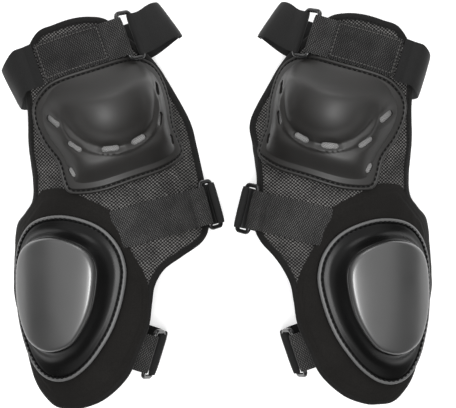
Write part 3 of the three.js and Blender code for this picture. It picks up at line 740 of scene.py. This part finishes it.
def cap_height(across, along, from_rim):
    """Outer height of the cap over the pad, at distances in mm from its rim."""
    dx, dy = across, along - CAP["dome_y"]
    from_dome = np.hypot(dx, dy)
    eased = eased_distance(across, along)
    body = CAP["body"] * smoothstep(eased, CAP["flange"] - 1, CAP["flange"] + CAP["rise"])

    # The dome, which widens and softens into the brow above it.
    upper = smoothstep(dy, -18, 46)
    widened = np.hypot(dx * (1 - 0.42 * upper), dy * (1 - 0.68 * upper))
    share = np.clip(1 - (widened / CAP["dome_radius"]) ** 2, 0, 1)
    dome = CAP["dome"] * share ** (0.9 + 0.8 * upper)
    brow = 3.0 * smoothstep(dy, -10, 40) * (1 - smoothstep(np.abs(dx), 22, 58))

    # The ledge round the lower side of the dome.
    edge = CAP["ledge_radius"]
    band = smoothstep(from_dome, 26, 38) * (1 - smoothstep(from_dome, edge - 0.9, edge + 0.9))
    lower = smoothstep(-dy / np.maximum(from_dome, 1), -0.45, 0.2)

    # The top, held under a climb from the flange by a soft minimum of the two.
    inside = np.maximum(0, eased - CAP["flange"])
    climb = 0.62 * inside + 0.013 * inside**2
    high = body + dome + brow + 1.9 * lower * band - vent_recess(across, along)
    soft = -SOFTNESS * np.log(
        np.exp(-np.minimum(high, 60) / SOFTNESS) + np.exp(-np.minimum(climb, 60) / SOFTNESS)
    )
    groove = 1.5 * np.exp(-(((from_rim - GROOVE_INSET) / 1.0) ** 2))
    lip = 1.6 * (1 - smoothstep(from_rim, 0, 1.6)) ** 2
    return CAP["rim"] + np.maximum(soft, -0.2) - groove - lip


def distance_to(loop, plan):
    """Distance in mm from places in plan to a closed outline's nearest point."""
    flat = plan.reshape(-1, 2)
    nearest = np.full(len(flat), np.inf)
    for point in loop:
        nearest = np.minimum(nearest, np.hypot(flat[:, 0] - point[0], flat[:, 1] - point[1]))
    return nearest.reshape(plan.shape[:-1])


def eased_distance(across, along):
    """Distance in mm to the cap's rim, with the creases at its corners smoothed away."""
    loop = outline(mirrored(CAP_HALF), 360)
    spacing = np.linalg.norm(np.diff(loop, axis=0), axis=1).mean()
    nearness = np.zeros_like(across)
    for point in loop:
        nearness += np.exp(-np.hypot(across - point[0], along - point[1]) / EASING)
    probe = np.linspace(0.01, 110, 440)
    straight = np.arange(-160, 160, spacing)
    expected = np.exp(-np.hypot(probe[:, None], straight[None, :]) / EASING).sum(axis=1)
    return np.interp(-np.log(nearness), -np.log(expected), probe)


def cap_plan(count, shares):
    """Plan places on the cap's spokes and their distances from its rim."""
    plan = spoke_places(outline(mirrored(CAP_HALF), count), (0, CAP["dome_y"]), shares)
    return plan, distance_to(outline(mirrored(CAP_HALF), 700), plan)


def knee_cap(guard, looks):
    """The hard shell with its eight vents, and the stitches that hold its flange down."""
    shares = np.concatenate([np.linspace(0, 0.78, 44), np.linspace(0.79, 1, 34)])
    plan, from_rim = cap_plan(300, shares)
    outer = cap_height(plan[..., 0], plan[..., 1], from_rim)
    inner = np.minimum(np.maximum(2.4, outer - CAP["shell"]), outer - 0.5)
    points, faces, uv = skin_mesh(on_cap, plan, outer, inner)
    shell = make_object(guard, "cap_shell", points, faces, looks["cap"], uv, smooth_angle=50)
    cut_vents(guard, shell)
    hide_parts(f"{guard.name}_knee_cap")
    loop = outline(mirrored(CAP_HALF), 500)
    groove = loop + inward_normals(loop) * GROOVE_INSET
    path = on_cap(*groove.T, CAP["rim"] - 0.7)
    normals = straight_out(on_cap, groove)
    stitches(guard, "cap_stitching", path, normals, looks, pitch=5.4, length=3.8, radius=0.75)


def vent_solid(vent, side):
    """A rounded slot standing through the cap, as points and faces in mm."""
    turn = vent["turn"]
    half = vent["length"] / 2 - vent["width"] / 2
    loop = []
    for end, first in ((1, -90), (-1, 90)):
        for k in range(9):
            angle = (first + 22.5 * k) * DEG
            radius = vent["width"] / 2
            loop.append((end * half + radius * math.cos(angle), radius * math.sin(angle)))
    loop = np.array(loop)
    dx = loop[:, 0] * math.cos(turn) - loop[:, 1] * math.sin(turn)
    dy = loop[:, 0] * math.sin(turn) + loop[:, 1] * math.cos(turn)
    x, y = side * (vent["across"] + dx), vent["along"] + dy
    rows = np.stack([on_cap(x, y, h) for h in CUTTER_HEIGHTS])
    points = rows.reshape(-1, 3)
    n = len(loop)
    faces = grid_faces(2, n, wrap_columns=True)
    faces.append(tuple(range(n - 1, -1, -1)))
    faces.append(tuple(range(n, 2 * n)))
    return points, outward(points, faces)


def cut_vents(guard, shell):
    """Cuts the eight vents through the shell, and leaves no modifier on it."""
    points, faces = [], []
    for vent in VENTS:
        for side in (1, -1):
            vent_points, vent_faces = vent_solid(vent, side)
            faces += [tuple(len(points) + k for k in face) for face in vent_faces]
            points += list(vent_points)
    if guard.mirror:
        faces = [tuple(reversed(face)) for face in faces]
    mesh = bpy.data.meshes.new("vent_cutter")
    mesh.from_pydata(guard.to_frame(np.array(points)).tolist(), [], faces)
    cutter = add_object("vent_cutter", mesh)
    modifier = shell.modifiers.new("vents", "BOOLEAN")
    modifier.operation = "DIFFERENCE"
    modifier.solver = "MANIFOLD"
    modifier.object = cutter
    with bpy.context.temp_override(object=shell, active_object=shell):
        bpy.ops.object.modifier_apply(modifier=modifier.name)
    bpy.data.objects.remove(cutter)
    bpy.data.meshes.remove(mesh)
    shell.data.set_sharp_from_angle(angle=50 * DEG)


def cap_cushion(guard, looks):
    """The pale padding that fills the cap and shows through its vents."""
    plan, from_rim = cap_plan(160, np.linspace(0, 0.91, 44))
    x, y = plan[..., 0], plan[..., 1]
    top = np.maximum(cap_height(x, y, from_rim) - CAP["shell"] - 2.2, 1.0)
    top = top - 0.4 * ripple(x, y, 12, 16)
    points, faces, uv = skin_mesh(on_cap, plan, top, 0.6)
    cushion = make_object(guard, "cap_cushion_mesh", points, faces, looks["pale"], uv)
    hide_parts(f"{guard.name}_cap_cushion")


# ---- slider ----


def slider_panel(guard, looks):
    """The loop-fabric panel that the slider holds on to, with a seam and creases near its edge."""
    loop = outline(PANEL_OUTLINE, 240)
    shares = np.concatenate([np.linspace(0, 0.85, 26), np.linspace(0.87, 1, 10)])

    def top(x, y, shares):
        edge = smoothstep(shares, 0.9, 1.0)
        seam = np.exp(-(((shares - 0.93) / 0.012) ** 2))
        creased = smoothstep(shares, 0.5, 0.9) - edge
        wavy = 0.35 * ripple(x, y, 21, 60) + 0.3 * creased * ripple(x, y, 37, 13)
        return 3.9 + wavy - 2.2 * edge - 0.7 * seam

    padded_skin(
        guard, "loop_panel", loop, PANEL_CENTRE, shares, (top, level(0.9)),
        looks["loop"], ["slider_panel"],
    )


# Profiles list (share, height): 0 is the plateau's edge, 1 the rim and -1 the middle. Those of
# the flange list (inset, height), inset in mm from the rim.
WALL_PROFILE = [
    (-1.0, 23.3), (-0.5, 23.3), (0.0, 23.3), (0.03, 23.0), (0.07, 21.6), (0.16, 17.6), (0.26, 13.6),
    (0.36, 11.2), (0.44, 10.0), (0.52, 9.4),
]
FLANGE_PROFILE = [
    (8.5, 9.1), (6.2, 9.1), (5.4, 8.8), (4.6, 7.7), (3.6, 7.7), (2.8, 8.7), (2.2, 9.0), (1.0, 9.0),
    (0.3, 8.8), (0.0, 8.2), (0.0, 6.8), (0.3, 6.2), (1.5, 6.0),
]
FOOT_PROFILE = [(0.5, 6.0), (0.3, 6.0), (-0.5, 6.0), (-1.0, 6.0)]
PLATE_PROFILE = [
    (-1.0, 31.6), (-0.8, 31.5), (-0.6, 31.2), (-0.4, 30.7), (-0.25, 30.1), (-0.14, 29.6),
    (-0.08, 29.2), (-0.05, 28.9), (-0.025, 28.3), (-0.008, 27.2), (0.0, 25.8), (0.004, 24.0),
    (0.0, 23.7), (-0.5, 23.7), (-1.0, 23.7),
]
BACKING_PROFILE = [
    (-1.0, 5.7), (0.3, 5.7), (0.93, 5.7), (0.95, 5.4), (0.95, 4.5), (0.93, 4.2), (0.3, 4.2),
    (-1.0, 4.2),
]
SLIDER_MIDDLE = np.array([0.0, 4.0])
BEAD = {"inset": 1.7, "radius": 1.7, "height": 8.6, "sides": 10}
SLIDER_GROOVE = {"inset": 3.3, "height": 9.4}


class SliderForm:
    """Plan outlines of a guard's slider, and where its profiles put their points."""

    def __init__(self, guard):
        self.rim = outline(mirrored(SLIDER_HALF), 240)
        self.plateau = outline(mirrored(PLATE_HALF), 240)
        self.inward = inward_normals(self.rim)
        spin, middle_y = guard.options["slider_spin"], guard.options["slider_y"]
        self.place = on_arch(SHIN, SLIDER["turn"], middle_y, spin, SLIDER["foot"])

    def at_share(self, share):
        towards = self.rim if share >= 0 else SLIDER_MIDDLE
        return self.plateau + (towards - self.plateau) * abs(share)

    def at_inset(self, inset):
        return self.rim + self.inward * inset

    def by_share(self, profile):
        """(plan, height) pairs from (share, height) pairs."""
        return [(self.at_share(share), height) for share, height in profile]

    def spokes(self, profile):
        """Spokes and their plan places, from (plan, height) pairs."""
        spokes = np.stack([self.place(*plan.T, height) for plan, height in profile], 1)
        return spokes, np.stack([plan for plan, _ in profile], 1)


def slider(guard, looks):
    """The rubber base, wear plate and hook backing, with a rim bead and stitches round them."""
    body = f"{guard.name}_slider"
    form = SliderForm(guard)
    flange = [(form.at_inset(inset), height) for inset, height in FLANGE_PROFILE]
    jobs = [
        ("slider_base", form.by_share(WALL_PROFILE) + flange + form.by_share(FOOT_PROFILE),
         "rubber", "slider_rubber", ["slider_body", "slider_core"]),
        ("slider_plate", form.by_share(PLATE_PROFILE),
         "plate", "slider_plate", ["slider_wear_plate"]),
        ("slider_hook_back", form.by_share(BACKING_PROFILE),
         "hook", "hook_fabric", ["slider_backing"]),
    ]
    for name, profile, look, slot, nodes in jobs:
        spokes, plan = form.spokes(profile)
        points, faces = spokes_mesh(spokes)
        uv = spokes_values(plan)
        piece = make_object(guard, name, points, faces, looks[look], uv, body, 60)
        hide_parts(*[f"{guard.name}_{node}" for node in nodes])
    sections = []
    for k in range(BEAD["sides"]):
        angle = 2 * math.pi * k / BEAD["sides"]
        plan = form.at_inset(BEAD["inset"] + BEAD["radius"] * math.cos(angle))
        height = BEAD["height"] + BEAD["radius"] * math.sin(angle)
        sections.append(form.place(*plan.T, height))
    points, faces = loop_mesh(np.stack(sections, 1))
    make_object(
        guard, "slider_rim_bead", points, faces, looks["rim"], None, body, 60
    )
    groove = form.at_inset(SLIDER_GROOVE["inset"])
    path = form.place(*groove.T, SLIDER_GROOVE["height"])
    normals = straight_out(form.place, groove, SLIDER["foot"] - 1)
    stitches(guard, "slider_stitching", path, normals, looks, 5.6, 3.6, 0.85, body)


# ---- straps ----


def strap_points(strap, route, q):
    """Route points (n, 2) of (across, height) carried to places q along the strap's width."""
    across, height = route[:, 0][:, None], route[:, 1][:, None]
    q = np.asarray(q, float)[None, :]
    for start, end, shift, turn in strap.get("sways", []):
        eased = smoothstep((across - start) / (end - start), 0, 1)
        across, q = across - q * np.sin(turn * eased), shift * eased + q * np.cos(turn * eased)
    x = strap["origin"][0] + across * strap["across"][0] + q * strap["up"][0]
    y = strap["origin"][1] + across * strap["across"][1] + q * strap["up"][1]
    return np.stack([x, y, np.broadcast_to(height, x.shape)], -1)


def route_normals(route):
    """Unit vectors to the left of a route in a strap's section."""
    along = np.gradient(route, axis=0)
    along /= np.linalg.norm(along, axis=1, keepdims=True)
    return np.stack([-along[:, 1], along[:, 0]], -1)


def beside(route, distance):
    return route + route_normals(route) * distance


def band(guard, name, strap, route, kind, looks, body=None, wrinkle=0.0, seed=1):
    """A flat band of even thickness along a route, with soft edges."""
    width, thickness, slot = BANDS[kind].values()
    q = np.sin(np.linspace(-math.pi / 2, math.pi / 2, 17)) * width / 2
    half = thickness / 2 * (1 - np.abs(2 * q / width) ** 6 * 0.75)
    normals = route_normals(route)
    direction = np.column_stack([normals[:, :1] * strap["across"], normals[:, 1]])[:, None, :]
    steps = lengths_along(route)
    lengthwise, crosswise = np.meshgrid(steps, q, indexing="ij")
    wave_height = wrinkle * ripple(lengthwise, crosswise, seed, 30)
    middle = strap_points(strap, route, q) + direction * wave_height[..., None]
    lift = direction * half[None, :, None]
    points, faces = slab_mesh(middle + lift, middle - lift)
    plan = np.stack([lengthwise, crosswise], -1)
    uv = there_and_back(plan, plan)
    return make_object(guard, f"{strap['name']}_{name}", points, faces, looks[kind], uv, body)


def pad_band_route(strap, start, stop, height, count=40):
    """A route over the pad along the middle of a strap."""
    across = np.linspace(start, stop, count)
    x = strap["origin"][0] + across * strap["across"][0]
    y = strap["origin"][1] + across * strap["across"][1]
    points = on_pad(x, y, height)
    shift = (points[:, 0] - strap["origin"][0]) * strap["across"][0]
    shift += (points[:, 1] - strap["origin"][1]) * strap["across"][1]
    return np.stack([shift, points[:, 2]], -1)


def arc(centre, radius, start, stop, count=14):
    """Points round a centre from one angle to another, in degrees."""
    angles = np.linspace(start, stop, count) * DEG
    return np.array(centre) + radius * np.stack([np.cos(angles), np.sin(angles)], -1)


def squarish(value):
    """A sine or cosine, swelled so that the circle it draws gets flatter sides."""
    return np.sign(value) * abs(value) ** 0.75


def ring(guard, strap, bars, looks):
    """A rectangular plastic ring with rounded bars through two bar centres."""
    inner, outer = np.array(bars[0], float), np.array(bars[1], float)
    across = (outer - inner) / np.linalg.norm(outer - inner)
    up = np.array([-across[1], across[0]])
    middle = (inner + outer) / 2
    span = np.linalg.norm(outer - inner) / 2
    half, arc_steps, sides = RING_HALF - RING_BAR, 8, 14
    sections = []
    for quarter, (sx, sy) in enumerate([(1, 1), (-1, 1), (-1, -1), (1, -1)]):
        for k in range(arc_steps + 1):
            turn = (quarter + k / arc_steps) * math.pi / 2
            a = sx * (span - RING_CORNER) + RING_CORNER * math.cos(turn)
            b = sy * (half - RING_CORNER) + RING_CORNER * math.sin(turn)
            row = []
            for side in range(sides):
                angle = 2 * math.pi * side / sides
                out = RING_BAR * squarish(math.cos(angle))
                rise = RING_BAR * 0.92 * squarish(math.sin(angle))
                section = middle + across * (a + math.cos(turn) * out) + up * rise
                width = b + math.sin(turn) * out
                row.append(strap_points(strap, section[None, :], [width])[0, 0])
            sections.append(row)
    points, faces = loop_mesh(np.array(sections))
    name = f"{strap['name']}_ring_bar"
    body = f"{guard.name}_{strap['name']}_ring"
    piece = make_object(guard, name, points, faces, looks["ring"], None, body, 60)
    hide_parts(f"{guard.name}_{strap['name']}_ring")


def strap_set(guard, looks, strap, bars, webbing, loop, tab_length, patch=None):
    """One strap's webbing, ring, elastic loop, tab and hook patch."""
    name = strap["name"]

    def node(part):
        return f"{guard.name}_{name}_{part}"

    piece = band(guard, "webbing_band", strap, webbing, "webbing", looks)
    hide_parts(node("webbing"))
    if patch is not None:
        piece = band(guard, "patch_band", strap, patch, "patch", looks)
        box_stitching(guard, strap, patch)
        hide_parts(node("patch"))
    ring(guard, strap, bars, looks)

    # The loop hangs from under the ring's outer bar and lies along the floor.
    outer = np.array(bars[1], float)
    dense = even(spline(loop, False), 260, False)
    dense[:, 1] = np.maximum(dense[:, 1], ELASTIC / 2)
    steps = lengths_along(dense)
    piece = band(
        guard, "strap_band", strap, dense[steps > 6], "elastic", looks, wrinkle=0.25, seed=4
    )
    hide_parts(node("strap"))

    # The tab turns round that bar and comes back over the loop, its hook patch facing it.
    outside = beside(dense, 3.6)[steps < tab_length]
    clear = outside[np.linalg.norm(outside - outer, axis=1) > RING_BAR + 4.5]
    toward = clear[0] - outer
    leave = math.degrees(math.atan2(toward[1], toward[0]))
    turn = arc(outer, RING_WRAP, leave + 215, leave + 62, 22)
    route = even(spline(np.concatenate([turn, clear[::4]]), False, 8), 110, False)
    body = f"{guard.name}_{name}_tab"
    piece = band(guard, "tab_band", strap, route, "elastic", looks, body)
    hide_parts(node("tab"))
    under = beside(route[-26:-3], -(ELASTIC / 2 + 0.75))
    piece = band(guard, "hook_patch", strap, under, "hook", looks, body)
    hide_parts(node("hook"))


def box_stitching(guard, strap, route):
    """A rectangle of stitches just inside the edges of a sewn-on patch."""
    inset = 2.0
    half = BANDS["patch"]["width"] / 2 - inset
    lengths = lengths_along(route)
    raised = beside(route, 0.9)
    along = np.linspace(inset, lengths[-1] - inset, 60)
    sides = np.linspace(-half, half, 30)
    places = [(a, -half) for a in along] + [(along[-1], q) for q in sides[1:-1]]
    places += [(a, half) for a in along[::-1]] + [(along[0], q) for q in sides[::-1][1:-1]]
    path = []
    for a, q in places:
        at = np.array([[np.interp(a, lengths, raised[:, k]) for k in range(2)]])
        path.append(strap_points(strap, at, [q])[0, 0])
    path = np.array(path)
    normals = np.tile(np.array([0.0, 0.0, 1.0]), (len(path), 1))
    pale_thread = dict(looks, thread=looks["seam"])
    name = f"{strap['name']}_patch_stitching"
    stitches(guard, name, path, normals, pale_thread, 3.8, 2.7, 0.5)


def thigh_strap(guard, looks):
    """The strap over the top of the pad, whose loop sways down at both sides."""
    bars = THIGH_RING
    fit = guard.options["loop"]
    right, left = 88 - fit["inner"], -91 + fit["outer"]
    sways = [(56, right, 7.8, 17 * DEG), (-70, left, fit["shift"], fit["turn"])]
    strap = dict(THIGH_STRAP, sways=sways)
    surface = pad_band_route(strap, -50, 18, 2.6)
    up = even(spline([surface[-1], (31, 71.5), (38, 71.2)], False), 12, False)[1:]
    webbing = np.concatenate([surface, up, arc(bars[0], RING_WRAP, 80, -130)])
    patch = pad_band_route(strap, -49, 16, 4.4)
    over_edge = pad_band_route(strap, -61, -52, 2.9, 5)
    loop = [
        (61, 46), (73, 38.5), (right - 3, 29), (right - 1, 16), (right - 9, 4.5), (right - 24, 0.9),
        (40, 0.9), (0, 0.9), (-40, 0.9), (left + 27, 0.9), (left + 11, 4), (left + 3, 16), (left, 36),
        (left + 1, 54), ((left - 75) / 2, 71), (-72, 79.5),
    ] + [tuple(p) for p in over_edge]
    strap_set(guard, looks, strap, bars, webbing, loop, 52, patch)


def mid_strap(guard, looks):
    """The strap across the middle, its ring drawn in and lifted as this guard's is."""
    drawn, lift = guard.options["ring_in"], guard.options["ring_up"]
    bars = [(p - drawn, z + lift) for p, z in MID_RING]
    surface = pad_band_route(MID_STRAP, 6, 86 - drawn, 2.6)
    over = [surface[-1], (95 - drawn, 53.5 + lift), (101.5 - drawn, 50.5 + lift)]
    up = even(spline(over, False), 14, False)[1:]
    webbing = np.concatenate([surface, up, arc(bars[0], RING_WRAP, 60, -140)])
    loop = [
        (110 - drawn, 19 + lift), (107.5 - drawn, 9 + lift / 2), (99 - drawn, 5), (88 - drawn, 4.5),
        (60, 4.5), (45, 2.6), (30, 0.9), (-30, 0.9), (-90, 0.9), (-100, 0.9), (-108, 1.4),
    ]
    strap_set(guard, looks, MID_STRAP, bars, webbing, loop, 22)


def lower_strap(guard, looks):
    """The short strap at the pad's lower end."""
    surface = even(spline([(-22, 67.5), (-12, 67.2), (0, 67.5), (8, 67.6)], False), 30, False)
    webbing = np.concatenate([surface, arc(LOWER_RING[0], RING_WRAP, 85, -110)])
    loop = [
        (16, 37), (16.3, 24), (13, 8), (2, 0.9), (-40, 0.9), (-80, 0.9), (-108, 0.9), (-122, 3),
        (-127, 12),
    ]
    strap_set(guard, looks, LOWER_STRAP, LOWER_RING, webbing, loop, 30)


# ---- stage ----

VIEW_PLANE = 0.05
CAMERA_HEIGHT = 1.35
VIEW_WIDTH = 0.4788
SENSOR = 36
VIEW_MIDDLE = np.array([121.8, -93.5])
FLOOR_SIZE = 6.0
FLOOR_GAP = 0.0005
SKY = {"lean": 0.4, "from": 0.42, "to": 0.66, "dim": 0.16, "bright": 1.15}


def area_light(name, place, size, power, toward):
    """A square light of a size in metres and a power in watts, aimed at a place."""
    light = bpy.data.lights.new(name, "AREA")
    light.shape = "SQUARE"
    light.size = size
    light.energy = power
    obj = add_object(name, light)
    obj.location = place
    direction = Vector(toward) - Vector(place)
    obj.rotation_euler = direction.to_track_quat("-Z", "Y").to_euler()


def build_stage(right):
    """The camera straight above, the floor, the bright sky overhead and two lights."""
    centre = right.origin + VIEW_MIDDLE * MM
    camera_data = bpy.data.cameras.new("camera")
    camera_data.sensor_width = SENSOR
    camera_data.lens = SENSOR * (CAMERA_HEIGHT - VIEW_PLANE) / VIEW_WIDTH
    camera = add_object("camera", camera_data)
    camera.location = (centre[0], centre[1], CAMERA_HEIGHT)
    bpy.context.scene.camera = camera

    mesh = bpy.data.meshes.new("floor")
    corners = [(-1, -1), (1, -1), (1, 1), (-1, 1)]
    points = [(x * FLOOR_SIZE, y * FLOOR_SIZE, -FLOOR_GAP) for x, y in corners]
    mesh.from_pydata(points, [], [(0, 1, 2, 3)])
    floor = add_object("floor", mesh)
    g = Graph(bpy.data.materials.new("pale_floor"))
    tone = g.noise(g.object_place(), 3.0, 2.0)
    glow = {"Emission_Color": (1, 1, 1), "Emission_Strength": 0.35}
    mesh.materials.append(g.finish(g.mix(tone, grey(0.92), grey(0.94)), 0.9, shine=0.1, **glow))

    g = Graph(bpy.data.worlds.new("studio"))
    bpy.context.scene.world = g.owner
    direction = g.split(g.node("ShaderNodeTexCoord").outputs["Generated"])
    skewed = g.math("MULTIPLY_ADD", direction[1], SKY["lean"], direction[2])
    g.feed(g.nodes["Background"].inputs[0], (1, 1, 1))
    g.feed(
        g.nodes["Background"].inputs[1],
        g.span(skewed, SKY["from"], SKY["to"], SKY["dim"], SKY["bright"]),
    )
    area_light("key", (0.0, -0.22, 1.7), 0.5, 16, (0, 0, 0.05))
    area_light("rim", (0.0, 1.6, 0.9), 0.9, 7, (0, 0.05, 0.05))
    bpy.context.scene.view_settings.view_transform = "Standard"


# ---- everything ----

looks = build_materials()
guards = [Guard(RIGHT), Guard(LEFT)]
build_stage(guards[0])
builders = (
    pad_layers, pad_binding, knee_cap, cap_cushion, slider_panel, slider,
    thigh_strap, mid_strap, lower_strap,
)
for guard in guards:
    for build in builders:
        build(guard, looks)
